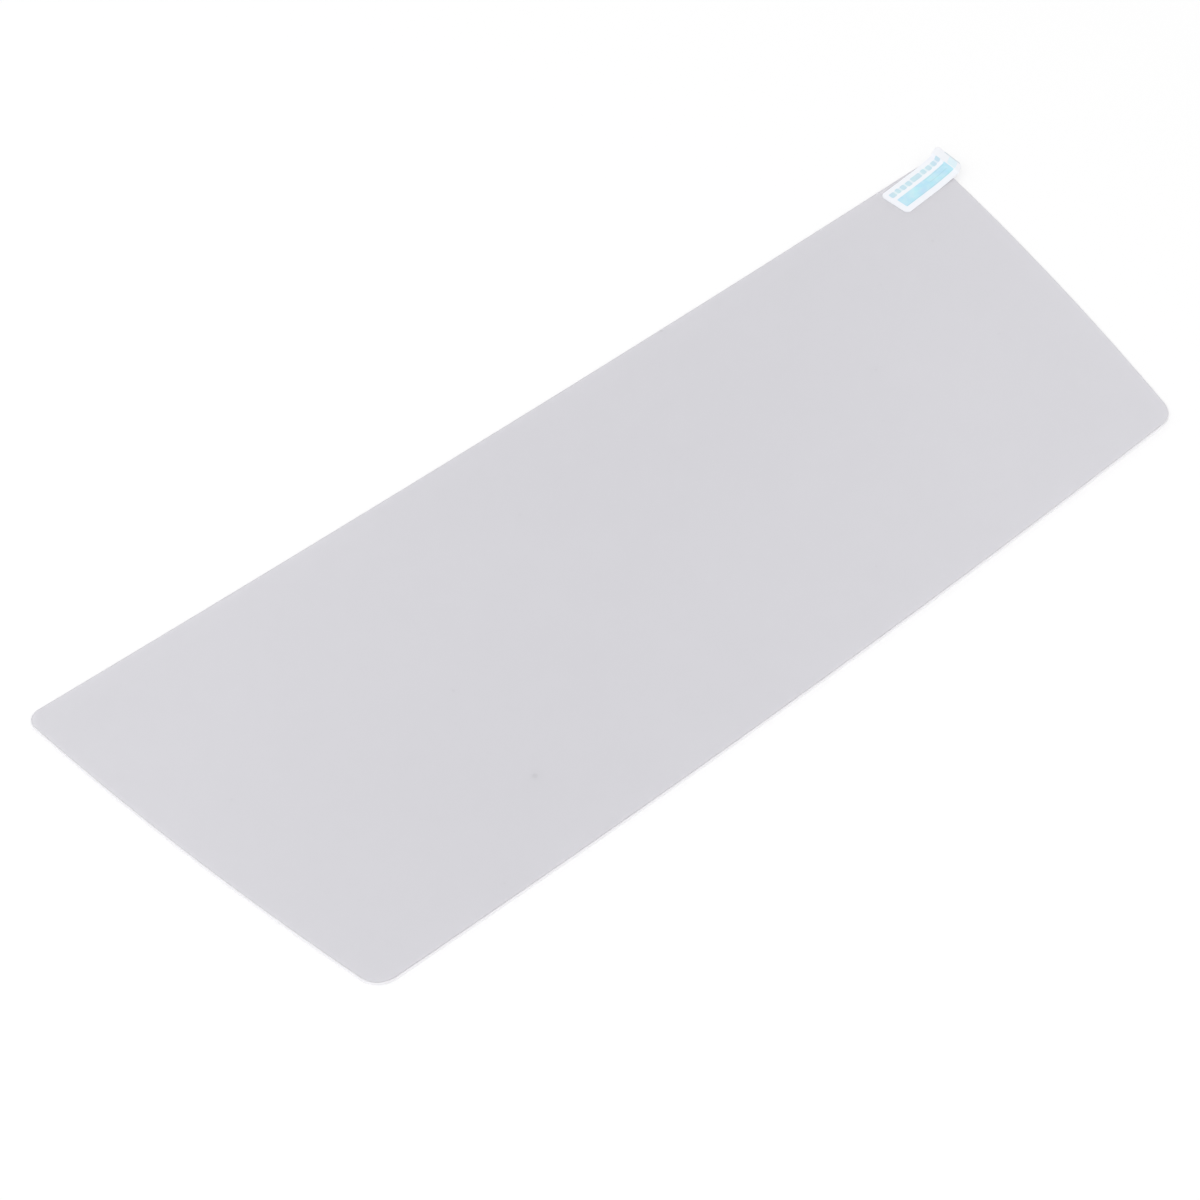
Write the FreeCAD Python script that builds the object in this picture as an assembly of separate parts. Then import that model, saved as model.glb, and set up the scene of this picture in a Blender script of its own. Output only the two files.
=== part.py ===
"""Car navigation screen protector: a glass pane, its peel-off liner and the liner's pull tab.

The pane lies with its adhesive face up, under the liner. X runs along its length, Y towards
its wider far edge and Z up. The origin is the centre of the pane's underside, midway between
the near and far corners. Lengths are in millimetres and angles in degrees.
"""
import FreeCAD, Part
import math
import os

# Pane outline: a trapezoid between sharp corners, whose edges are shallow arcs
FAR_WIDTH = 350.0
NEAR_WIDTH = 300.0
DEPTH = 128.5
FAR_EDGE_DIP = 1.6
NEAR_EDGE_BOW = 2.6
SIDE_BOW = 2.1
FAR_CORNER_RADIUS = 4.0
NEAR_CORNER_RADIUS = 7.7

# Pane section: glass with its bonded adhesive coat, and a rounded arris along both rims
PANE_THICKNESS = 1.1
ARRIS_RADIUS = 0.2
ARRIS_SHARE_LIMIT = 0.45

# Release liner: film on the flat of the adhesive face, a margin inside the arris
LINER_THICKNESS = 0.1
LINER_MARGIN = 0.1

# Pull tab: a label stuck on the liner, which lifts in a long arc and is creased up into a grip.
# Its tip is cut a little askew, with the grip longer on the far side
TAB_WIDTH = 11.8
TAB_THICKNESS = 0.12
TAB_CORNER_RADIUS = 1.8
TAB_STUCK_LENGTH = 15.0
TAB_LIFT_RADIUS = 66.0
TAB_LIFT_ANGLE = 9.0
TAB_CREASE_RADIUS = 1.0
TAB_CREASE_ANGLE = 55.0
TAB_GRIP_LENGTH = 3.2
TAB_TIP_SKEW = 5.0

# Place of the middle of the tab's stuck end, back from the far right sharp corner, and its turn
TAB_SETBACK_X = 26.0
TAB_SETBACK_Y = 8.25
TAB_TURN = 5.2

# Heights, lengths and radii that follow from the sizes above
LINER_BASE = PANE_THICKNESS
TAB_BASE = LINER_BASE + LINER_THICKNESS
TAB_OFFCUT_LENGTH = TAB_WIDTH
ARRIS = min(ARRIS_RADIUS, ARRIS_SHARE_LIMIT * PANE_THICKNESS)

ORIGIN = FreeCAD.Vector(0, 0, 0)
ACROSS = FreeCAD.Vector(0, 1, 0)
UP = FreeCAD.Vector(0, 0, 1)
TOUCHING = 1e-6


def bowed_edge(start, end, bow):
    """An arc from start to end whose middle stands to the right of the chord by bow."""
    chord = end - start
    outward = FreeCAD.Vector(chord.y, -chord.x, 0).normalize()
    middle = (start + end) * 0.5 + outward * bow
    return Part.Arc(start, middle, end).toShape()


def edges_at(solid, points):
    """The edges of a plate that stand upright on the given points."""
    found = []
    for edge in solid.Edges:
        foot = edge.Vertexes[0].Point
        head = edge.Vertexes[-1].Point
        upright = (head - foot).cross(UP).Length < TOUCHING < (head - foot).Length
        if upright and any((foot - point).cross(UP).Length < TOUCHING for point in points):
            found.append(edge)
    return found


def sheet_face():
    """The pane's outline as a flat face at Z = 0: four shallow arcs with rounded corners."""
    near_left = FreeCAD.Vector(-NEAR_WIDTH / 2, -DEPTH / 2, 0)
    near_right = FreeCAD.Vector(NEAR_WIDTH / 2, -DEPTH / 2, 0)
    far_right = FreeCAD.Vector(FAR_WIDTH / 2, DEPTH / 2, 0)
    far_left = FreeCAD.Vector(-FAR_WIDTH / 2, DEPTH / 2, 0)
    sharp = Part.Wire([
        bowed_edge(near_left, near_right, NEAR_EDGE_BOW),
        bowed_edge(near_right, far_right, SIDE_BOW),
        bowed_edge(far_right, far_left, -FAR_EDGE_DIP),
        bowed_edge(far_left, near_left, SIDE_BOW),
    ])
    plate = Part.Face(sharp).extrude(UP)
    plate = plate.makeFillet(NEAR_CORNER_RADIUS, edges_at(plate, [near_left, near_right]))
    plate = plate.makeFillet(FAR_CORNER_RADIUS, edges_at(plate, [far_left, far_right]))
    underside = min(plate.Faces, key=lambda face: face.CenterOfMass.z)
    return Part.Face(underside.OuterWire)


def make_glass_pane():
    """The outline raised to the pane's thickness, with both rims rounded all the way round."""
    pane = sheet_face().extrude(UP * PANE_THICKNESS)
    rims = [edge for edge in pane.Edges if edge.BoundBox.ZLength < TOUCHING]
    return pane.makeFillet(ARRIS, rims)


def drawn_in(face, distance):
    """A flat outline drawn in all round: the flat left on a plate when its rim is bevelled."""
    plate = face.extrude(UP * 2 * distance)
    rim = [edge for edge in plate.Edges if edge.BoundBox.ZMin > distance]
    bevelled = plate.makeChamfer(distance, rim)
    flat = max(bevelled.Faces, key=lambda side: side.CenterOfMass.z)
    return Part.Face(flat.OuterWire)


def make_release_liner():
    """The outline drawn in past the arris by the margin, raised to the film's thickness."""
    inner = drawn_in(sheet_face(), ARRIS + LINER_MARGIN)
    inner.translate(UP * (LINER_BASE - inner.CenterOfMass.z))
    return inner.extrude(UP * LINER_THICKNESS)


def ahead(heading):
    """The way a line in the XZ plane runs at a heading, which is nought along X."""
    return FreeCAD.Vector(math.cos(heading), 0, math.sin(heading))


def bend(start, heading, radius, angle):
    """An arc in the XZ plane that turns upwards from a heading: its edge, end and new heading."""
    centre = start + FreeCAD.Vector(-math.sin(heading), 0, math.cos(heading)) * radius

    def at(turned):
        aim = heading + turned
        return centre + FreeCAD.Vector(math.sin(aim), 0, -math.cos(aim)) * radius

    end = at(angle)
    return Part.Arc(start, at(angle / 2), end).toShape(), end, heading + angle


def tab_line(height):
    """The uncut tab's side view at a height in its thickness: edges, first point and last point."""
    lift = math.radians(TAB_LIFT_ANGLE)
    crease = math.radians(TAB_CREASE_ANGLE)
    first = UP * height
    lift_start = first + FreeCAD.Vector(TAB_STUCK_LENGTH, 0, 0)
    lift_edge, crease_start, heading = bend(lift_start, 0, TAB_LIFT_RADIUS - height, lift)
    crease_edge, grip_start, heading = bend(crease_start, heading, TAB_CREASE_RADIUS - height, crease)
    last = grip_start + ahead(heading) * (TAB_GRIP_LENGTH + TAB_OFFCUT_LENGTH)
    stuck_edge = Part.makeLine(first, lift_start)
    grip_edge = Part.makeLine(grip_start, last)
    return [stuck_edge, lift_edge, crease_edge, grip_edge], first, last


def tip_offcut(last):
    """The block past the tip, whose face runs askew across the grip that ends at a last point."""
    heading = math.radians(TAB_LIFT_ANGLE + TAB_CREASE_ANGLE)
    along = ahead(heading)
    through = ahead(heading + math.pi / 2) * TAB_THICKNESS
    tip_line = (ACROSS + along * math.tan(math.radians(TAB_TIP_SKEW))) * TAB_WIDTH
    middle = last + ACROSS * (TAB_WIDTH / 2) - along * TAB_OFFCUT_LENGTH
    start = middle - tip_line - through
    end = middle + tip_line - through
    beyond = along * 2 * TAB_OFFCUT_LENGTH
    outline = Part.makePolygon([start, end, end + beyond, start + beyond, start])
    return Part.Face(outline).extrude(through * 3)


def make_pull_tab():
    """The side view carried across the width, cut at the tip, rounded and set on the liner."""
    lower, lower_first, lower_last = tab_line(0)
    upper, upper_first, upper_last = tab_line(TAB_THICKNESS)
    ends = [Part.makeLine(lower_first, upper_first), Part.makeLine(lower_last, upper_last)]
    side_view = Part.Wire(Part.sortEdges(lower + upper + ends)[0])
    strip = Part.Face(side_view).extrude(ACROSS * TAB_WIDTH).cut(tip_offcut(lower_last))
    corners = [edge for edge in strip.Edges if abs(edge.Length - TAB_THICKNESS) < TOUCHING]
    tab = strip.makeFillet(TAB_CORNER_RADIUS, corners)
    tab.translate(ACROSS * (-TAB_WIDTH / 2))
    tab.rotate(ORIGIN, UP, TAB_TURN)
    stuck_end = FreeCAD.Vector(FAR_WIDTH / 2 - TAB_SETBACK_X, DEPTH / 2 - TAB_SETBACK_Y, TAB_BASE)
    tab.translate(stuck_end)
    return tab


def main():
    """Writes one file for each piece."""
    pieces = {
        "glass_pane": make_glass_pane(),
        "release_liner": make_release_liner(),
        "pull_tab": make_pull_tab(),
    }
    os.makedirs("parts", exist_ok=True)
    for name, shape in pieces.items():
        shape.exportStep("parts/" + name + ".step")


main()
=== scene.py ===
"""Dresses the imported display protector: its glass pane, liner film and printed pull tab.

The file is laid out as an add-on and run as a script. Each piece has an operator of its own, and so
has the stage. Lengths are metres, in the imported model's frame: X along the sheet, Y towards its
wider far edge, Z up from the table.
"""
import math

import bpy
import numpy as np
from bpy.props import FloatProperty, FloatVectorProperty, PointerProperty
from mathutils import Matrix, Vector


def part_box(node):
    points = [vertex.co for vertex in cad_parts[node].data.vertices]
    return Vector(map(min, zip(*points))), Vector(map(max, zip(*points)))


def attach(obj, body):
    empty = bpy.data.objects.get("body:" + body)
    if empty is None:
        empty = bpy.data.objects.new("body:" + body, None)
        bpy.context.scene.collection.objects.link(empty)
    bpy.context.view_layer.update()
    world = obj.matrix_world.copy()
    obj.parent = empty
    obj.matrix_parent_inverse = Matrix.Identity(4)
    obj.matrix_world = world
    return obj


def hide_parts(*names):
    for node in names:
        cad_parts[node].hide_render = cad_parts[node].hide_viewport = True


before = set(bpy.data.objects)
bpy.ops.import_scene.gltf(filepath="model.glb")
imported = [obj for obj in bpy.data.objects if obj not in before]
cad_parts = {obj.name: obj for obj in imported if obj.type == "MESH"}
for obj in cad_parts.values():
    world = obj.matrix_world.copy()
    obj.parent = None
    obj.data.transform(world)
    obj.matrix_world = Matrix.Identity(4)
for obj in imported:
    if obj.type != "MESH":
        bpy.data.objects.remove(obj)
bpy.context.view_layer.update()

PANE_LOW, PANE_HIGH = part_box("glass_pane")
LINER_LOW, LINER_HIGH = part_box("release_liner")
TAB_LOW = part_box("pull_tab")[0]

bl_info = {
    "name": "Display protector",
    "version": (1, 0, 0),
    "blender": (4, 5, 0),
    "location": "3D View > Sidebar > Protector",
    "description": "Builds a glass display protector with its liner, pull tab and a white stage",
    "category": "Add Mesh",
}

MM = 0.001
BODY = "root"

# How far a dressed piece may stand from the box of the solid it replaces
FIT_TOLERANCE = 0.25 * MM

# Steps along each long edge, round each corner and round each arris, and rings across a flat face
EDGE_STEPS = 72
CORNER_STEPS = 20
ARRIS_STEPS = 6
FACE_RINGS = 8

# Steps on the label: round a corner, across, and along its stuck length, lift, crease and grip
TAB_CORNER_STEPS = 12
TAB_ACROSS_STEPS = 24
TAB_STUCK_STEPS = 17
TAB_LIFT_STEPS = 35
TAB_CREASE_STEPS = 18
TAB_GRIP_STEPS = 13

# Decimals of a metre to which columns of the label that coincide are merged
MERGE_DIGITS = 9

# Air left between faces that lie on each other, so that light crosses them one at a time
FILM_GAP = 0.01 * MM
TABLE_GAP = 0.05 * MM

# How fast the surround grows brighter towards both sides and down from the zenith
SIDE_GAIN = 22.0
DROP_GAIN = 1.2

# Side and place of the soft lamp, and the camera's sensor in millimetres
LAMP_SIDE = 2.2
LAMP_PLACE = Vector((-1.5, -0.4, 2.6))
SENSOR_WIDTH = 36.0

# How strongly glass and film bend light
GLASS_IOR = 1.52
FILM_IOR = 1.57

# How much lighter or darker a finish is at the far end of its own variation
DRIFT_GAIN = 1.012
RIM_GRAIN_GAIN = 0.96
DUST_GAIN = 0.7
FIBRE_GAIN = 0.93

# Share by which the film's haze strays to either side
HAZE_SPREAD = 0.2

# Fractal noise seldom leaves this range, which is stretched to run from nought to one
NOISE_LOW = 0.3
NOISE_HIGH = 0.7

# Sockets of a Mix node that is set to colours
MIX_FACTOR = 0
MIX_FIRST = 6
MIX_SECOND = 7
MIX_RESULT = 2

# Print on the label, in millimetres from its stuck end and from its near edge: low and high
# corners of its two fields, the grip's being the band's print drawn paler as painted sheen, and the
# corner radii and soft edge of fields, lines and blocks
BAND_FIELD = ((2.5, 2.25), (26.7, 6.65))
GRIP_PRINT_SHEEN_FIELD = ((27.0, 1.8), (29.3, 5.4))
BAND_CORNER = 0.3
LINE_CORNER = 0.1
BLOCK_CORNER = 0.5
INK_SOFTNESS = 0.1

# Row of plain blocks: where it starts, its heights, the blocks' widths, the gap between them, how
# far and in what turns they sway off the row, and how far the pale wash stays inside it
MARK_START = 2.1
MARK_LOW = 8.0
MARK_HIGH = 10.1
MARK_WIDTHS = (2.3, 1.6, 1.9, 2.0, 4.3, 1.7, 1.8, 1.7, 2.1)
MARK_GAP = 0.72
MARK_SWAY = 0.12
MARK_SWAY_TURN = 1.7
MARK_WASH_INSET = 0.15

# Painted shade along the tip, a grey line for its cut edge in shadow: its width, and where it starts and
# ends across
TIP_SHADE_WIDTH = 0.35
TIP_SHADE_START = 0.3
TIP_SHADE_END = 7.8

# Blue-white paper that runs on past the crease before the painted shade on the upturned grip
GRIP_MARGIN = 0.3

# Fine rules in the band: start, end and height
RULES = ((15.5, 25.8, 6.3), (16.8, 25.3, 4.4), (2.8, 25.6, 2.5))
RULE_WIDTH = 0.22


def srgb(red, green, blue):
    """A colour given as 0 to 255 on screen, as the linear values that shaders take."""
    shares = np.array([red, green, blue]) / 255
    linear = np.where(shares <= 0.04045, shares / 12.92, ((shares + 0.055) / 1.055) ** 2.4)
    return tuple(float(share) for share in linear)


def length(label, text, value):
    """A length property in metres."""
    return FloatProperty(name=label, description=text, default=value, unit="LENGTH", precision=5)


def angle(label, text, degrees):
    """An angle property, given in degrees and kept in radians."""
    return FloatProperty(name=label, description=text, default=math.radians(degrees), subtype="ANGLE")


def share(label, text, value):
    """A plain number from nought to one."""
    return FloatProperty(name=label, description=text, default=value, min=0.0, max=1.0, subtype="FACTOR")


def colour(label, text, value):
    """A linear colour property."""
    return FloatVectorProperty(
        name=label, description=text, default=value, size=3, min=0.0, max=1.0, subtype="COLOR")


class PaneSettings(bpy.types.PropertyGroup):
    """Sizes and colours of the glass pane"""

    far_width: length("Far width", "Width of the far edge between sharp corners", 350 * MM)
    near_width: length("Near width", "Width of the near edge between sharp corners", 300 * MM)
    depth: length("Depth", "From the near corners to the far corners", 128.5 * MM)
    far_dip: length("Far dip", "How far the middle of the far edge dips in", 1.6 * MM)
    near_bow: length("Near bow", "How far the middle of the near edge stands out", 2.6 * MM)
    side_bow: length("Side bow", "How far the middle of each side stands out", 2.1 * MM)
    far_corner: length("Far corner", "Radius of the far corners", 4.0 * MM)
    near_corner: length("Near corner", "Radius of the near corners", 7.7 * MM)
    thickness: length("Thickness", "Glass with its adhesive coat", PANE_HIGH.z - PANE_LOW.z)
    arris: length("Arris", "Radius of the rounded edge along both rims", 0.2 * MM)
    tint: colour("Tint", "Colour of light that has crossed the glass", (0.982, 0.98, 0.986))
    rim_tint: colour("Rim", "Colour of the ground rim", (0.965, 0.957, 0.985))


class LinerSettings(bpy.types.PropertyGroup):
    """Sizes and colours of the release liner"""

    inset: length("Inset", "How far the film stays inside the pane's outline", 0.3 * MM)
    thickness: length("Thickness", "Thickness of the film", LINER_HIGH.z - LINER_LOW.z)
    edge_round: length("Edge", "Radius of the film's cut edge", 0.02 * MM)
    tint: colour("Tint", "Colour of the film itself", (0.807, 0.798, 0.846))
    cover: share("Cover", "How much of what lies below it the film hides", 0.72)
    haze: share("Haze", "Roughness of the film", 0.2)


class TabSettings(bpy.types.PropertyGroup):
    """Sizes and colours of the pull tab"""

    width: length("Width", "Across the label", 11.8 * MM)
    thickness: length("Thickness", "Thickness of the label", 0.12 * MM)
    corner: length("Corner", "Radius of the label's corners", 1.8 * MM)
    stuck: length("Stuck length", "Length that lies on the liner", 15.0 * MM)
    lift_radius: length("Lift radius", "Radius of the long lift", 66.0 * MM)
    lift: angle("Lift", "Turn of the long lift", 9.0)
    crease_radius: length("Crease radius", "Radius of the crease", 1.0 * MM)
    crease: angle("Crease", "Turn of the crease", 55.0)
    grip: length("Grip", "Length of the middle of the straight end past the crease", 3.2 * MM)
    tip_skew: angle("Tip skew", "How far askew the tip is cut, longer on the far side", 5.0)
    setback_x: length("Setback X", "Stuck end from the far right sharp corner", 26.0 * MM)
    setback_y: length("Setback Y", "Stuck end from the far right sharp corner", 8.25 * MM)
    turn: angle("Turn", "Turn of the label from the sheet's length", 5.2)
    shine: share("Shine", "Light that crosses each face of the thin label", 0.8)
    paper: colour("Paper", "Bare label face", srgb(243, 245, 250))
    # Painted shade: the upturned grip is drawn in duller, greyer paper than the rest
    grip_painted_shade: colour("Grip paper", "Duller paper of the handled grip", srgb(243, 243, 246))
    band: colour("Band", "Broad printed band", srgb(191, 229, 244))
    rule: colour("Rules", "Fine lines in the band", srgb(178, 218, 230))
    mark: colour("Marks", "Row of plain printed blocks", srgb(200, 226, 237))
    mark_wash: colour("Mark wash", "Pale ink between the blocks", srgb(224, 238, 245))
    # The band's print on the grip, drawn paler than the band as a painted sheen
    grip_print_sheen: colour("Grip field", "Pale print on the grip", srgb(227, 241, 246))
    # Painted shade: a grey line along the tip stands for its cut edge in shadow
    tip_painted_shade: colour("Tip line", "Ink worn to a line along the tip", srgb(212, 221, 224))
    cut_edge: colour("Cut edge", "Bare cut edge and back of the label", srgb(234, 235, 240))


class StageSettings(bpy.types.PropertyGroup):
    """Table, light and camera"""

    floor_half: length("Floor", "Half the side of the table", 1.2)
    floor_colour: colour("Floor colour", "Colour of the table", (0.985, 0.985, 0.985))
    sky: FloatProperty(name="Sky", description="Strength of the strip overhead", default=0.25, min=0.0)
    side_sky: FloatProperty(name="Sides", description="Strength of both sides", default=0.985, min=0.0)
    lamp_power: FloatProperty(
        name="Lamp", description="Power of the soft lamp", default=16.0, unit="POWER")
    lens: FloatProperty(name="Lens", description="Focal length", default=68.09, unit="CAMERA")
    azimuth: angle("Azimuth", "Camera's turn round the sheet, nought along +Y", -39.98)
    elevation: angle("Elevation", "Camera's height above the horizon", 53.0)
    distance: length("Distance", "From the aim point to the camera", 644.2 * MM)
    aim_x: length("Aim X", "Point on the sheet in the middle of the picture", -28.31 * MM)
    aim_y: length("Aim Y", "Point on the sheet in the middle of the picture", -6.12 * MM)


def circle_of(start, end, bow):
    """Centre, radius and side of the circle through two corners whose arc stands off by bow.

    The radius is (half chord squared + bow squared) / (2 bow). The side is +1 where the arc bulges
    out, to the right of travel, and -1 where it dips in.
    """
    chord = end - start
    half = np.linalg.norm(chord) / 2
    outward = np.array([chord[1], -chord[0]]) / (2 * half)
    radius = (half ** 2 + bow ** 2) / (2 * abs(bow))
    side = math.copysign(1.0, bow)
    return (start + end) / 2 + outward * (bow - side * radius), radius, side


def corner_centre(first, second, corner, radius):
    """Centre of the round between two arcs: the crossing of both circles drawn in by its radius."""
    centre, reach, side = first
    other, other_reach, other_side = second
    near = reach - side * radius
    far = other_reach - other_side * radius
    span = np.linalg.norm(other - centre)
    axis = (other - centre) / span
    along = (span ** 2 + near ** 2 - far ** 2) / (2 * span)
    across = np.array([-axis[1], axis[0]]) * math.sqrt(near ** 2 - along ** 2)
    crossings = centre + axis * along + np.array([across, -across])
    return crossings[np.argmin(np.linalg.norm(crossings - corner, axis=1))]


def touch(circle, point):
    """Where the line from a circle's centre through a point meets the circle."""
    centre, radius, _ = circle
    return centre + (point - centre) * (radius / np.linalg.norm(point - centre))


def arc(centre, start, end, steps, side):
    """Points and outward normals in even turns from start up to, but without, the end."""
    first = math.atan2(*(start - centre)[::-1])
    last = math.atan2(*(end - centre)[::-1])
    turn = (last - first + math.pi) % (2 * math.pi) - math.pi
    turns = first + turn * np.arange(steps) / steps
    rays = np.stack([np.cos(turns), np.sin(turns)], axis=1)
    return centre + rays * np.linalg.norm(start - centre), rays * side


def sheet_outline(pane):
    """The pane's outline, counter-clockwise from above: four shallow arcs with rounded corners."""
    half_near = pane.near_width / 2
    half_far = pane.far_width / 2
    half_depth = pane.depth / 2
    corners = np.array([
        (-half_near, -half_depth), (half_near, -half_depth),
        (half_far, half_depth), (-half_far, half_depth)])
    bows = (pane.near_bow, pane.side_bow, -pane.far_dip, pane.side_bow)
    radii = (pane.near_corner, pane.near_corner, pane.far_corner, pane.far_corner)
    ends = np.roll(corners, -1, axis=0)
    circles = [circle_of(*edge) for edge in zip(corners, ends, bows)]
    rounds = [
        corner_centre(circles[i - 1], circles[i], corners[i], radii[i]) for i in range(len(corners))]
    stretches = []
    for i, centre in enumerate(rounds):
        entry = touch(circles[i - 1], centre)
        leave = touch(circles[i], centre)
        arrival = touch(circles[i], rounds[(i + 1) % len(rounds)])
        stretches.append(arc(centre, entry, leave, CORNER_STEPS, 1.0))
        stretches.append(arc(circles[i][0], leave, arrival, EDGE_STEPS, circles[i][2]))
    points, normals = (np.concatenate(part) for part in zip(*stretches))
    return points, normals


def rim_section(thickness, arris):
    """Inset and height along a rim: a quarter round, the upright wall and a quarter round back."""
    turns = np.linspace(0, math.pi / 2, ARRIS_STEPS + 1)
    inset = arris * (1 - np.sin(turns))
    height = arris * (1 - np.cos(turns))
    return (np.concatenate([inset, inset[::-1]]),
            np.concatenate([height, thickness - height[::-1]]))


def plate(points, normals, base, section):
    """A closed plate: the section carried round the outline, with flat faces drawn in to a pole.

    A rim point is the outline point moved in along its normal by the inset. Rings of a flat face
    move in even shares from the rim to the middle. Returns vertices, faces and a rim flag per face.
    """
    insets, heights = section
    rim = points[None] - normals[None] * insets[:, None, None]
    middle = points.mean(axis=0)
    shares = (np.arange(1, FACE_RINGS) / FACE_RINGS)[:, None, None]
    under = (rim[0] + (middle - rim[0]) * shares)[::-1]
    over = rim[-1] + (middle - rim[-1]) * shares
    rows = np.concatenate([under, rim, over])
    levels = np.concatenate([
        np.full(len(under), heights[0]), heights, np.full(len(over), heights[-1])]) + base
    upright = np.broadcast_to(levels[:, None, None], rows.shape[:2] + (1,))
    body = np.concatenate([rows, upright], axis=2).reshape(-1, 3)
    poles = np.array([(*middle, levels[0]), (*middle, levels[-1])])
    index = np.arange(len(body)).reshape(rows.shape[:2])
    ahead = np.roll(index, -1, axis=1)
    quads = np.stack([index[:-1], ahead[:-1], ahead[1:], index[1:]], axis=2).reshape(-1, 4)
    low_pole = np.full(len(points), len(body))
    low_fan = np.stack([low_pole, ahead[0], index[0]], axis=1)
    high_fan = np.stack([index[-1], ahead[-1], low_pole + 1], axis=1)
    in_rim = np.zeros(len(rows) - 1, bool)
    in_rim[len(under):len(under) + len(rim) - 1] = True
    flags = np.concatenate([np.repeat(in_rim, len(points)), np.zeros(2 * len(points), bool)])
    return np.concatenate([body, poles]), quads.tolist() + low_fan.tolist() + high_fan.tolist(), flags


def tab_stations(tab):
    """Flat lengths from the label's stuck end to where its lift, crease and grip start."""
    crease_start = tab.stuck + tab.lift_radius * tab.lift
    return tab.stuck, crease_start, crease_start + tab.crease_radius * tab.crease


def tab_length(tab):
    """The length of the label's middle line laid flat."""
    return tab_stations(tab)[-1] + tab.grip


def tab_curve(tab, along):
    """The label's underside in side view: distance out, height and slope at each flat length.

    It runs flat, then turns up on the lift radius, then on the crease radius, then straight on.
    """
    lift_start, crease_start, grip_start = tab_stations(tab)
    lifted = np.clip((along - lift_start) / tab.lift_radius, 0, tab.lift)
    creased = np.clip((along - crease_start) / tab.crease_radius, 0, tab.crease)
    slope = lifted + creased
    straight = np.maximum(along - grip_start, 0)
    out = (np.minimum(along, lift_start) + tab.lift_radius * np.sin(lifted)
           + tab.crease_radius * (np.sin(slope) - np.sin(lifted)) + straight * np.cos(slope))
    height = (tab.lift_radius * (1 - np.cos(lifted))
              + tab.crease_radius * (np.cos(lifted) - np.cos(slope)) + straight * np.sin(slope))
    return out, height, slope


def end_line(tab, across, skew):
    """How far a rounded end, cut askew, stands out from its middle at each place across.

    The straight end is across times the tangent of the skew. Each round's centre lies a radius in
    from that line and from the long side, and the round adds the root of radius squared less the
    square of the place beside its centre.
    """
    sides = np.sign(across)
    inner = tab.width / 2 - tab.corner
    beside = sides * across - inner
    centre = sides * inner * math.tan(skew) - tab.corner / math.cos(skew)
    rounded = centre + np.sqrt(np.maximum(tab.corner ** 2 - beside ** 2, 0))
    in_round = beside > -sides * tab.corner * math.sin(skew)
    return np.where(in_round, rounded, across * math.tan(skew))


def tab_grid(tab):
    """Flat length and place across for a grid on the label, drawn in at its rounded corners.

    Columns keep their place across. Rows keep their length through the lift and the crease, and
    spread evenly from there to the rounded ends.
    """
    half = tab.width / 2
    turns = np.linspace(0, math.pi / 2, TAB_CORNER_STEPS + 1)
    rounds = half - tab.corner * (1 - np.sin(turns))
    even = np.linspace(-half, half, TAB_ACROSS_STEPS + 1)
    across = np.unique(np.concatenate([-rounds, even, rounds]).round(MERGE_DIGITS))
    first = -end_line(tab, across, 0.0)
    last = tab_length(tab) + end_line(tab, across, tab.tip_skew)
    lift_start, crease_start, grip_start = tab_stations(tab)
    middle = np.concatenate([
        np.linspace(lift_start, crease_start, TAB_LIFT_STEPS + 1)[:-1],
        np.linspace(crease_start, grip_start, TAB_CREASE_STEPS + 1)])
    stuck_shares = np.linspace(0, 1, TAB_STUCK_STEPS + 1)[:-1, None]
    grip_shares = np.linspace(0, 1, TAB_GRIP_STEPS + 1)[1:, None]
    stuck_rows = first + (lift_start - first) * stuck_shares
    grip_rows = grip_start + (last - grip_start) * grip_shares
    middle_rows = np.broadcast_to(middle[:, None], (len(middle), len(across)))
    along = np.concatenate([stuck_rows, middle_rows, grip_rows])
    return along, np.broadcast_to(across, along.shape)


def tab_points(tab, pane, along, across, rise):
    """Points of the label at a rise through its thickness, turned and set on the liner's corner."""
    out, height, slope = tab_curve(tab, along)
    out = out - np.sin(slope) * rise
    height = height + np.cos(slope) * rise
    x = pane.far_width / 2 - tab.setback_x + out * math.cos(tab.turn) - across * math.sin(tab.turn)
    y = pane.depth / 2 - tab.setback_y + out * math.sin(tab.turn) + across * math.cos(tab.turn)
    return np.stack([x, y, height + TAB_LOW.z + FILM_GAP], axis=2)


def slab(lower, upper):
    """A closed slab between two grids: faces of the top, the bottom and the four sides, as arrays."""
    rows, columns = lower.shape[:2]
    index = np.arange(rows * columns).reshape(rows, columns)
    bottom = np.stack([index[:-1, :-1], index[:-1, 1:], index[1:, 1:], index[1:, :-1]], axis=2)
    top = bottom[..., ::-1] + index.size
    ring = np.concatenate([
        index[:-1, 0], index[-1, :-1], index[:0:-1, -1], index[0, :0:-1]])
    ahead = np.roll(ring, -1)
    sides = np.stack([ring, ahead, ahead + index.size, ring + index.size], axis=1)
    vertices = np.concatenate([lower.reshape(-1, 3), upper.reshape(-1, 3)])
    return vertices, top.reshape(-1, 4), bottom.reshape(-1, 4), sides


def make_piece(name, vertices, faces, face_slots, smooth, materials):
    """A mesh object at the origin, with a material slot and a shading flag for every face."""
    mesh = bpy.data.meshes.new(name)
    mesh.from_pydata(vertices.tolist(), [], faces)
    for material in materials:
        mesh.materials.append(material)
    mesh.polygons.foreach_set("material_index", np.asarray(face_slots, np.int32))
    mesh.polygons.foreach_set("use_smooth", np.asarray(smooth, bool))
    mesh.update()
    piece = bpy.data.objects.new(name, mesh)
    bpy.context.scene.collection.objects.link(piece)
    return piece


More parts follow.
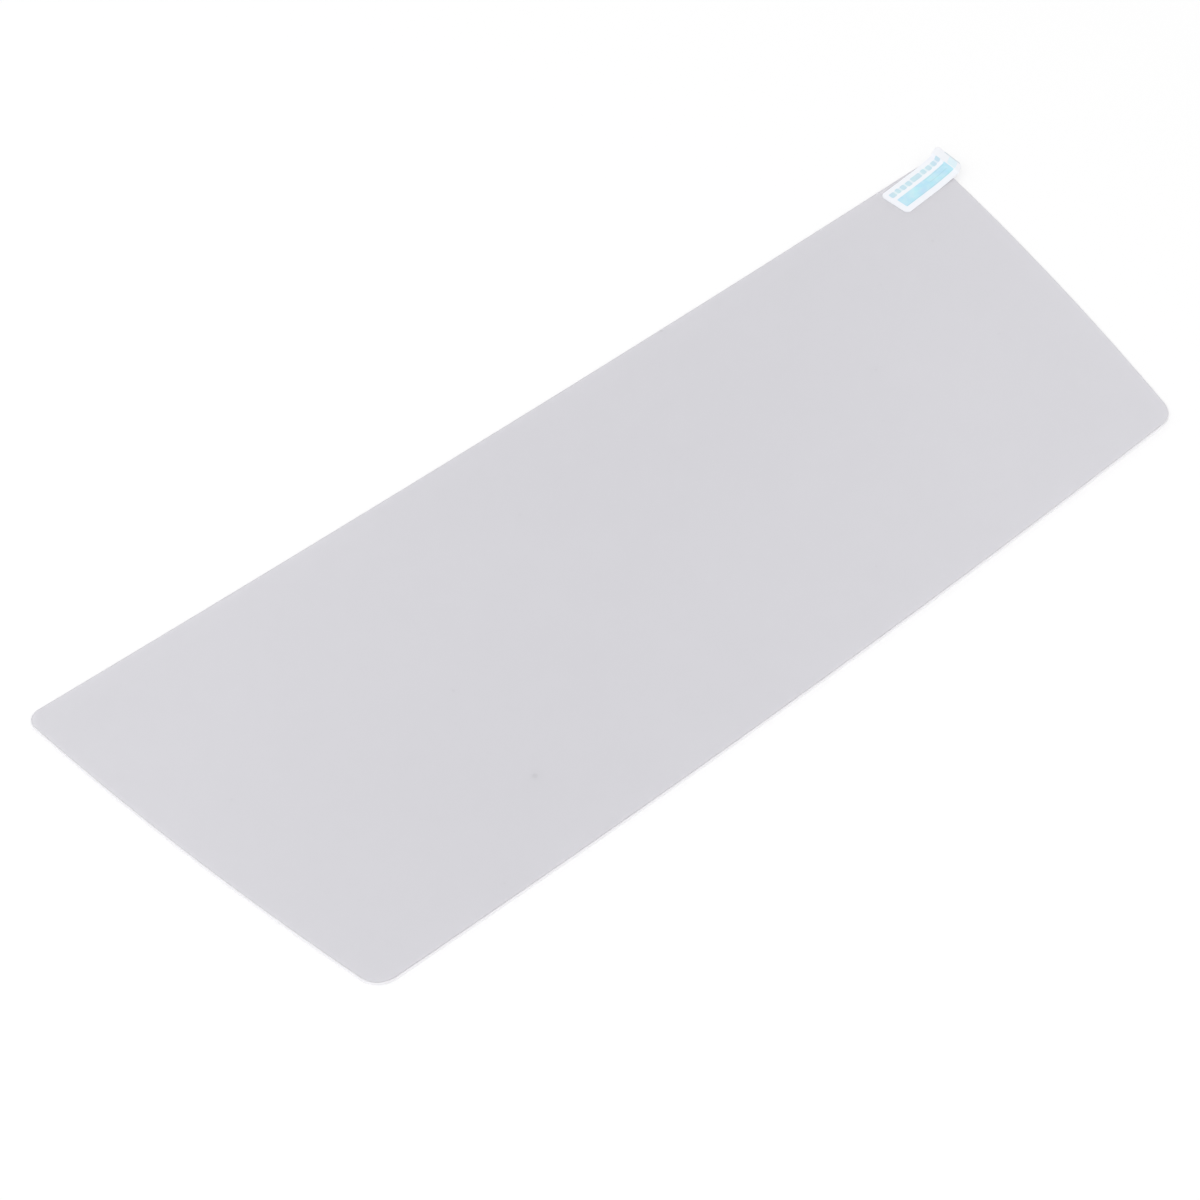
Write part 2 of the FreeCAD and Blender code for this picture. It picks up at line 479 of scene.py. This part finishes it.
def stand_for(piece, node):
    """Lets a piece take a solid's place, after its box is found to match the solid's box."""
    low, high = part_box(node)
    corners = np.array([corner[:] for corner in piece.bound_box])
    off = max(np.abs(corners.min(axis=0) - low).max(), np.abs(corners.max(axis=0) - high).max())
    if off > FIT_TOLERANCE:
        raise RuntimeError(f"{piece.name} stands {off / MM:.2f} mm from {node}")
    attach(piece, BODY)
    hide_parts(node)


def feed(tree, socket, value):
    """Gives a socket a plain value, or links another node's output to it."""
    if isinstance(value, bpy.types.NodeSocket):
        tree.links.new(value, socket)
    else:
        socket.default_value = value


def add(tree, kind, inputs=None, **settings):
    """A node with its settings, whose inputs take plain values or other nodes' outputs."""
    node = tree.nodes.new(kind)
    for name, value in settings.items():
        setattr(node, name, value)
    for socket, value in (inputs or {}).items():
        feed(tree, node.inputs[socket], value)
    return node


def set_inputs(tree, node, **inputs):
    """Sets or links a node's inputs. An underscore in a name stands for a space."""
    for label, value in inputs.items():
        feed(tree, node.inputs[label.replace("_", " ")], value)


def maths(tree, operation, first, second=0.0):
    """The output of a Math node."""
    return add(tree, "ShaderNodeMath", {0: first, 1: second}, operation=operation).outputs[0]


def vectors(tree, operation, first, second=(0.0, 0.0, 0.0)):
    """A Vector Math node."""
    return add(tree, "ShaderNodeVectorMath", {0: first, 1: second}, operation=operation)


def opaque(rgb):
    """A colour with full alpha, as colour sockets take it."""
    return (*rgb, 1.0)


def shaded(rgb, gain):
    """A colour made lighter or darker by a gain, with full alpha."""
    return opaque(min(1.0, part * gain) for part in rgb)


def blend(tree, factor, first, second):
    """The output of a colour Mix node: first at factor nought, second at one."""
    inputs = {MIX_FACTOR: factor, MIX_FIRST: first, MIX_SECOND: second}
    return add(tree, "ShaderNodeMix", inputs, data_type="RGBA").outputs[MIX_RESULT]


def remap(tree, value, low, high):
    """A value from nought to one spread between low and high."""
    return add(tree, "ShaderNodeMapRange", {"Value": value, "To Min": low, "To Max": high}).outputs[0]


def new_group(name, inputs, outputs):
    """An empty shader node group with named sockets: its tree, input node and output node."""
    tree = bpy.data.node_groups.new(name, "ShaderNodeTree")
    for label, kind, default in inputs:
        socket = tree.interface.new_socket(label, in_out="INPUT", socket_type="NodeSocket" + kind)
        if default is not None:
            socket.default_value = default
    for label, kind in outputs:
        tree.interface.new_socket(label, in_out="OUTPUT", socket_type="NodeSocket" + kind)
    return tree, tree.nodes.new("NodeGroupInput"), tree.nodes.new("NodeGroupOutput")


def mottle_group():
    """Soft uneven tone: fractal noise with its middle stretched to run from low to high."""
    found = bpy.data.node_groups.get("Soft mottle")
    if found:
        return found
    tree, inside, outside = new_group(
        "Soft mottle",
        [("Vector", "Vector", None), ("Scale", "Float", 20.0), ("Detail", "Float", 3.0),
         ("Low", "Float", 0.0), ("High", "Float", 1.0)],
        [("Value", "Float")])
    noise = add(tree, "ShaderNodeTexNoise", {
        "Vector": inside.outputs["Vector"], "Scale": inside.outputs["Scale"],
        "Detail": inside.outputs["Detail"]})
    spread = add(tree, "ShaderNodeMapRange", {
        "Value": noise.outputs[0], "From Min": NOISE_LOW, "From Max": NOISE_HIGH,
        "To Min": inside.outputs["Low"], "To Max": inside.outputs["High"]})
    tree.links.new(spread.outputs[0], outside.inputs["Value"])
    return tree


def specks_group():
    """Scattered specks seen from above: dots in a few cells, picked by each cell's own number."""
    found = bpy.data.node_groups.get("Dust specks")
    if found:
        return found
    tree, inside, outside = new_group(
        "Dust specks",
        [("Vector", "Vector", None), ("Scale", "Float", 80.0), ("Size", "Float", 0.02),
         ("Amount", "Float", 0.05)],
        [("Mask", "Float")])
    cells = add(tree, "ShaderNodeTexVoronoi", {
        "Vector": inside.outputs["Vector"], "Scale": inside.outputs["Scale"]},
        voronoi_dimensions="2D")
    pick = add(tree, "ShaderNodeSeparateColor", {0: cells.outputs["Color"]})
    chosen = maths(tree, "LESS_THAN", pick.outputs[0], inside.outputs["Amount"])
    size = maths(tree, "MULTIPLY", pick.outputs[1], inside.outputs["Size"])
    dot = maths(tree, "LESS_THAN", cells.outputs["Distance"], size)
    tree.links.new(maths(tree, "MULTIPLY", chosen, dot), outside.inputs["Mask"])
    return tree


def field_group():
    """A printed field: one inside a rectangle with rounded corners, falling to nought at its edge.

    The distance is the length of what reaches past the inner rectangle, less the corner radius.
    """
    found = bpy.data.node_groups.get("Printed field")
    if found:
        return found
    tree, inside, outside = new_group(
        "Printed field",
        [("Place", "Vector", None), ("Centre", "Vector", None), ("Half size", "Vector", None),
         ("Corner", "Float", 0.2), ("Softness", "Float", 0.08)],
        [("Mask", "Float")])
    away = vectors(tree, "SUBTRACT", inside.outputs["Place"], inside.outputs["Centre"])
    folded = vectors(tree, "ABSOLUTE", away.outputs[0])
    past = vectors(tree, "SUBTRACT", folded.outputs[0], inside.outputs["Half size"])
    grown = add(tree, "ShaderNodeCombineXYZ", {
        "X": inside.outputs["Corner"], "Y": inside.outputs["Corner"]})
    reach = vectors(tree, "ADD", past.outputs[0], grown.outputs[0])
    outer = vectors(tree, "MAXIMUM", reach.outputs[0])
    gap = maths(tree, "SUBTRACT", vectors(tree, "LENGTH", outer.outputs[0]).outputs["Value"],
                inside.outputs["Corner"])
    soft = inside.outputs["Softness"]
    mask = add(tree, "ShaderNodeMapRange", {
        "Value": gap, "From Min": maths(tree, "MULTIPLY", soft, -1.0), "From Max": soft,
        "To Min": 1.0, "To Max": 0.0}, interpolation_type="SMOOTHSTEP")
    tree.links.new(mask.outputs[0], outside.inputs["Mask"])
    return tree


def use_group(tree, group, **inputs):
    """The first output of a group that is placed with values of its own."""
    node = add(tree, "ShaderNodeGroup", node_tree=group)
    set_inputs(tree, node, **inputs)
    return node.outputs[0]


def new_material(name):
    """A material with its tree, shader and object coordinates."""
    material = bpy.data.materials.new(name)
    material.use_nodes = True
    tree = material.node_tree
    shader = tree.nodes["Principled BSDF"]
    place = add(tree, "ShaderNodeTexCoord").outputs["Object"]
    return material, tree, shader, place


def bump(tree, height, strength, distance):
    """The normal that a height map gives."""
    node = add(tree, "ShaderNodeBump", {"Height": height, "Strength": strength, "Distance": distance})
    return node.outputs[0]


def let_lamps_through(tree, shader, tint):
    """Lets shadow rays cross a surface, tinted, in place of the shader that all else meets."""
    clear = add(tree, "ShaderNodeBsdfTransparent", {"Color": opaque(tint)})
    shadow = add(tree, "ShaderNodeLightPath").outputs["Is Shadow Ray"]
    either = add(tree, "ShaderNodeMixShader", {0: shadow, 1: shader.outputs[0], 2: clear.outputs[0]})
    tree.links.new(either.outputs[0], tree.nodes["Material Output"].inputs["Surface"])


def glass_material(pane):
    """Polished clear glass: a pale tint that drifts a little, and faint smears in its polish.

    Lamps shine straight through it, so the table under the sheet is lit as softly as round it.
    """
    material, tree, shader, place = new_material("clear_glass")
    drift = use_group(tree, mottle_group(), Vector=place, Scale=9.0)
    set_inputs(
        tree, shader,
        Base_Color=blend(tree, drift, opaque(pane.tint), shaded(pane.tint, DRIFT_GAIN)),
        Roughness=use_group(tree, mottle_group(), Vector=place, Scale=45.0, Low=0.02, High=0.06),
        Transmission_Weight=1.0, IOR=GLASS_IOR)
    let_lamps_through(tree, shader, pane.tint)
    return material


def rim_material(pane):
    """Ground glass along the rim: pale, frosted and finely grained."""
    material, tree, shader, place = new_material("ground_rim")
    grain = use_group(tree, mottle_group(), Vector=place, Scale=2600.0, Detail=2.0)
    set_inputs(
        tree, shader,
        Base_Color=blend(tree, grain, shaded(pane.rim_tint, RIM_GRAIN_GAIN), opaque(pane.rim_tint)),
        Roughness=remap(tree, grain, low=0.42, high=0.58),
        Normal=bump(tree, grain, strength=0.25, distance=0.02 * MM),
        Transmission_Weight=0.12, IOR=GLASS_IOR)
    let_lamps_through(tree, shader, pane.rim_tint)
    return material


def liner_material(liner):
    """Pale see-through film: a faint drift of tint, uneven haze, slight waves and a few specks.

    Light that has come in through one face leaves by the other unhindered, so the film covers once.
    """
    material, tree, shader, place = new_material("liner_film")
    drift = use_group(tree, mottle_group(), Vector=place, Scale=14.0)
    clean = blend(tree, drift, opaque(liner.tint), shaded(liner.tint, DRIFT_GAIN))
    dust = use_group(tree, specks_group(), Vector=place, Scale=75.0, Size=0.055, Amount=0.05)
    waves = use_group(tree, mottle_group(), Vector=place, Scale=30.0, Detail=1.0)
    entering = maths(tree, "SUBTRACT", 1.0, add(tree, "ShaderNodeNewGeometry").outputs["Backfacing"])
    covering = maths(tree, "MAXIMUM", dust, liner.cover)
    set_inputs(
        tree, shader,
        Base_Color=blend(tree, dust, clean, shaded(liner.tint, DUST_GAIN)),
        Roughness=use_group(
            tree, mottle_group(), Vector=place, Scale=60.0,
            Low=liner.haze * (1 - HAZE_SPREAD), High=liner.haze * (1 + HAZE_SPREAD)),
        Normal=bump(tree, waves, strength=0.2, distance=0.15 * MM),
        Alpha=maths(tree, "MULTIPLY", covering, entering), IOR=FILM_IOR)
    return material


def print_fields(tab):
    """The label's print, with painted shade on the grip and along the tip and the grip's print paled as
    painted sheen, bottom layer first: low corner, high corner, corner radius and colour.
    """
    fields = [(*BAND_FIELD, BAND_CORNER, tab.band)]
    for start, end, height in RULES:
        low = (start, height - RULE_WIDTH / 2)
        high = (end, height + RULE_WIDTH / 2)
        fields.append((low, high, LINE_CORNER, tab.rule))
    row_end = MARK_START + sum(MARK_WIDTHS) + MARK_GAP * (len(MARK_WIDTHS) - 1)
    wash_low = (MARK_START + MARK_WASH_INSET, MARK_LOW + MARK_WASH_INSET)
    wash_high = (row_end - MARK_WASH_INSET, MARK_HIGH - MARK_WASH_INSET)
    fields.append((wash_low, wash_high, BLOCK_CORNER, tab.mark_wash))
    start = MARK_START
    for i, width in enumerate(MARK_WIDTHS):
        sway = MARK_SWAY * math.sin(MARK_SWAY_TURN * i)
        low = (start, MARK_LOW + sway)
        high = (start + width, MARK_HIGH + sway)
        fields.append((low, high, BLOCK_CORNER, tab.mark))
        start += width + MARK_GAP
    tip = tab_length(tab) / MM
    # Painted shade: the upturned grip drawn in duller, greyer paper
    grip_shade_low = (tip - tab.grip / MM + GRIP_MARGIN, 0.0)
    fields.append((grip_shade_low, (tip, tab.width / MM), LINE_CORNER, tab.grip_painted_shade))
    # The band's print on the grip, paled as painted sheen
    fields.append((*GRIP_PRINT_SHEEN_FIELD, BLOCK_CORNER, tab.grip_print_sheen))
    # Painted shade along the tip, for its cut edge in shadow
    tip_shade_low = (tip - TIP_SHADE_WIDTH, TIP_SHADE_START)
    fields.append((tip_shade_low, (tip, TIP_SHADE_END), LINE_CORNER, tab.tip_painted_shade))
    return fields


def label_material(tab):
    """Printed label face: white stock with fields of pale ink, painted shade on the grip and along the
    tip, a painted sheen on the grip's print, an uneven lay and a fine tooth.

    It is thin enough to let part of the light through.
    """
    material, tree, shader, place = new_material("label_print")
    flat = add(tree, "ShaderNodeUVMap", uv_map="label_flat").outputs[0]
    size = (tab_length(tab) / MM, tab.width / MM, 0.0)
    ink_place = vectors(tree, "MULTIPLY", flat, size).outputs[0]
    tone = opaque(tab.paper)
    for low, high, corner, ink in print_fields(tab):
        centre = ((low[0] + high[0]) / 2, (low[1] + high[1]) / 2, 0.0)
        half = ((high[0] - low[0]) / 2, (high[1] - low[1]) / 2, 0.0)
        mask = use_group(tree, field_group(), Place=ink_place, Centre=centre, Half_size=half,
                         Corner=corner, Softness=INK_SOFTNESS)
        tone = blend(tree, mask, tone, opaque(ink))
    lay = use_group(tree, mottle_group(), Vector=place, Scale=420.0)
    drift = use_group(tree, mottle_group(), Vector=place, Scale=260.0)
    worn = add(tree, "ShaderNodeHueSaturation", {
        "Hue": remap(tree, drift, low=0.48, high=0.52),
        "Saturation": remap(tree, lay, low=0.85, high=1.15),
        "Color": tone})
    tooth = use_group(tree, mottle_group(), Vector=place, Scale=3500.0, Detail=4.0)
    set_inputs(
        tree, shader,
        Base_Color=worn.outputs[0],
        Roughness=remap(tree, lay, low=0.38, high=0.5),
        Normal=bump(tree, tooth, strength=0.2, distance=0.01 * MM))
    let_lamps_through(tree, shader, (tab.shine,) * 3)
    return material


def label_back_material(tab):
    """Bare label stock on the back and along the cut edges: greyer, with a coarser tooth."""
    material, tree, shader, place = new_material("label_stock")
    fibre = use_group(tree, mottle_group(), Vector=place, Scale=1800.0, Detail=5.0)
    set_inputs(
        tree, shader,
        Base_Color=blend(tree, fibre, shaded(tab.cut_edge, FIBRE_GAIN), opaque(tab.cut_edge)),
        Roughness=remap(tree, fibre, low=0.6, high=0.75),
        Normal=bump(tree, fibre, strength=0.3, distance=0.01 * MM))
    let_lamps_through(tree, shader, (tab.shine,) * 3)
    return material


class PROTECTOR_OT_pane(bpy.types.Operator):
    """Builds the glass pane with its rounded, ground rim"""

    bl_idname = "protector.pane"
    bl_label = "Glass pane"

    def execute(self, context):
        pane = context.scene.protector_pane
        points, normals = sheet_outline(pane)
        section = rim_section(pane.thickness, pane.arris)
        vertices, faces, in_rim = plate(points, normals, PANE_LOW.z, section)
        materials = [glass_material(pane), rim_material(pane)]
        piece = make_piece("clear_pane", vertices, faces, in_rim, in_rim, materials)
        stand_for(piece, "glass_pane")
        return {"FINISHED"}


class PROTECTOR_OT_liner(bpy.types.Operator):
    """Builds the release liner on the pane's upper face"""

    bl_idname = "protector.liner"
    bl_label = "Release liner"

    def execute(self, context):
        liner = context.scene.protector_liner
        points, normals = sheet_outline(context.scene.protector_pane)
        points = points - normals * liner.inset
        section = rim_section(liner.thickness - 2 * FILM_GAP, liner.edge_round)
        vertices, faces, in_rim = plate(points, normals, LINER_LOW.z + FILM_GAP, section)
        slots = [0] * len(faces)
        piece = make_piece("liner_sheet", vertices, faces, slots, in_rim, [liner_material(liner)])
        stand_for(piece, "release_liner")
        return {"FINISHED"}


class PROTECTOR_OT_tab(bpy.types.Operator):
    """Builds the printed pull tab, lifted and creased at its free end"""

    bl_idname = "protector.tab"
    bl_label = "Pull tab"

    def execute(self, context):
        tab = context.scene.protector_tab
        pane = context.scene.protector_pane
        along, across = tab_grid(tab)
        lower = tab_points(tab, pane, along, across, 0.0)
        upper = tab_points(tab, pane, along, across, tab.thickness)
        vertices, top, bottom, sides = slab(lower, upper)
        faces = np.concatenate([top, bottom, sides])
        slots = np.repeat([0, 1, 1], [len(top), len(bottom), len(sides)])
        smooth = np.repeat([True, True, False], [len(top), len(bottom), len(sides)])
        materials = [label_material(tab), label_back_material(tab)]
        piece = make_piece("label_tab", vertices, faces.tolist(), slots, smooth, materials)
        reach = tab_length(tab) + across * math.tan(tab.tip_skew)
        flat = np.stack([along / reach, across / tab.width + 0.5], axis=2).reshape(-1, 2)
        layer = piece.data.uv_layers.new(name="label_flat")
        layer.data.foreach_set("uv", np.concatenate([flat, flat])[faces.ravel()].ravel())
        stand_for(piece, "pull_tab")
        return {"FINISHED"}


def make_floor(stage):
    """A plain square table just under the sheet, in dull white."""
    corners = np.array([(-1, -1), (1, -1), (1, 1), (-1, 1)]) * stage.floor_half
    vertices = np.column_stack([corners, np.full(len(corners), PANE_LOW.z - TABLE_GAP)])
    material = bpy.data.materials.new("white_table")
    material.use_nodes = True
    tree = material.node_tree
    tree.nodes.remove(tree.nodes["Principled BSDF"])
    dull = add(tree, "ShaderNodeBsdfDiffuse", {"Color": opaque(stage.floor_colour)})
    tree.links.new(dull.outputs[0], tree.nodes["Material Output"].inputs["Surface"])
    make_piece("table", vertices, [[0, 1, 2, 3]], [0], [False], [material])


def make_sky(stage):
    """A white surround with a dimmer strip overhead, which the sheet mirrors.

    The surround's share grows with the square of the lean to either side and with the drop from
    the zenith.
    """
    world = bpy.data.worlds.new("white_surround")
    bpy.context.scene.world = world
    world.use_nodes = True
    tree = world.node_tree
    sideways = (math.cos(stage.azimuth), math.sin(stage.azimuth), 0.0)
    direction = add(tree, "ShaderNodeTexCoord").outputs["Generated"]
    lean = vectors(tree, "DOT_PRODUCT", direction, sideways).outputs["Value"]
    upward = add(tree, "ShaderNodeSeparateXYZ", {0: direction}).outputs["Z"]
    aside = maths(tree, "MULTIPLY", maths(tree, "MULTIPLY", lean, lean), SIDE_GAIN)
    dropped = maths(tree, "MULTIPLY", maths(tree, "SUBTRACT", 1.0, upward), DROP_GAIN)
    strength = remap(tree, maths(tree, "ADD", aside, dropped), low=stage.sky, high=stage.side_sky)
    tree.links.new(strength, tree.nodes["Background"].inputs["Strength"])
    tree.nodes["Background"].inputs["Color"].default_value = opaque((1.0, 1.0, 1.0))


def make_lamp(stage):
    """One broad soft lamp from the left, high over the table."""
    data = bpy.data.lights.new("soft_lamp", "AREA")
    data.energy = stage.lamp_power
    data.size = LAMP_SIDE
    lamp = bpy.data.objects.new("soft_lamp", data)
    lamp.location = LAMP_PLACE
    lamp.rotation_mode = "QUATERNION"
    lamp.rotation_quaternion = (-LAMP_PLACE).to_track_quat("-Z", "Y")
    bpy.context.scene.collection.objects.link(lamp)


def make_camera(stage):
    """The camera on its ray from the aim point, at the azimuth and elevation."""
    back = Vector((
        math.sin(stage.azimuth) * math.cos(stage.elevation),
        -math.cos(stage.azimuth) * math.cos(stage.elevation),
        math.sin(stage.elevation)))
    data = bpy.data.cameras.new("camera")
    data.lens = stage.lens
    data.sensor_width = SENSOR_WIDTH
    camera = bpy.data.objects.new("camera", data)
    camera.location = Vector((stage.aim_x, stage.aim_y, LINER_HIGH.z)) + back * stage.distance
    camera.rotation_mode = "QUATERNION"
    camera.rotation_quaternion = (-back).to_track_quat("-Z", "Y")
    bpy.context.scene.collection.objects.link(camera)
    bpy.context.scene.camera = camera


class PROTECTOR_OT_stage(bpy.types.Operator):
    """Sets the white table, the soft light and the camera"""

    bl_idname = "protector.stage"
    bl_label = "Stage"

    def execute(self, context):
        stage = context.scene.protector_stage
        make_floor(stage)
        make_sky(stage)
        make_lamp(stage)
        make_camera(stage)
        context.scene.view_settings.view_transform = "Standard"
        return {"FINISHED"}


class PROTECTOR_PT_panel(bpy.types.Panel):
    """Lists the pieces and their settings"""

    bl_label = "Display protector"
    bl_idname = "PROTECTOR_PT_panel"
    bl_space_type = "VIEW_3D"
    bl_region_type = "UI"
    bl_category = "Protector"

    def draw(self, context):
        for operator, settings in BUILDS:
            box = self.layout.box()
            box.operator(operator)
            group = getattr(context.scene, settings)
            for name in group.bl_rna.properties.keys():
                if name not in {"rna_type", "name"}:
                    box.prop(group, name)


BUILDS = (
    ("protector.pane", "protector_pane"),
    ("protector.liner", "protector_liner"),
    ("protector.tab", "protector_tab"),
    ("protector.stage", "protector_stage"),
)
SETTINGS = {
    "protector_pane": PaneSettings,
    "protector_liner": LinerSettings,
    "protector_tab": TabSettings,
    "protector_stage": StageSettings,
}
CLASSES = (
    *SETTINGS.values(),
    PROTECTOR_OT_pane,
    PROTECTOR_OT_liner,
    PROTECTOR_OT_tab,
    PROTECTOR_OT_stage,
    PROTECTOR_PT_panel,
)


def register():
    """Registers the classes and hangs the settings on the scene."""
    for cls in CLASSES:
        bpy.utils.register_class(cls)
    for name, settings in SETTINGS.items():
        setattr(bpy.types.Scene, name, PointerProperty(type=settings))


def unregister():
    """Takes the settings and the classes away again."""
    for name in SETTINGS:
        delattr(bpy.types.Scene, name)
    for cls in reversed(CLASSES):
        bpy.utils.unregister_class(cls)


def main():
    """Builds every piece and the stage."""
    register()
    bpy.ops.protector.pane()
    bpy.ops.protector.liner()
    bpy.ops.protector.tab()
    bpy.ops.protector.stage()


if __name__ == "__main__":
    main()
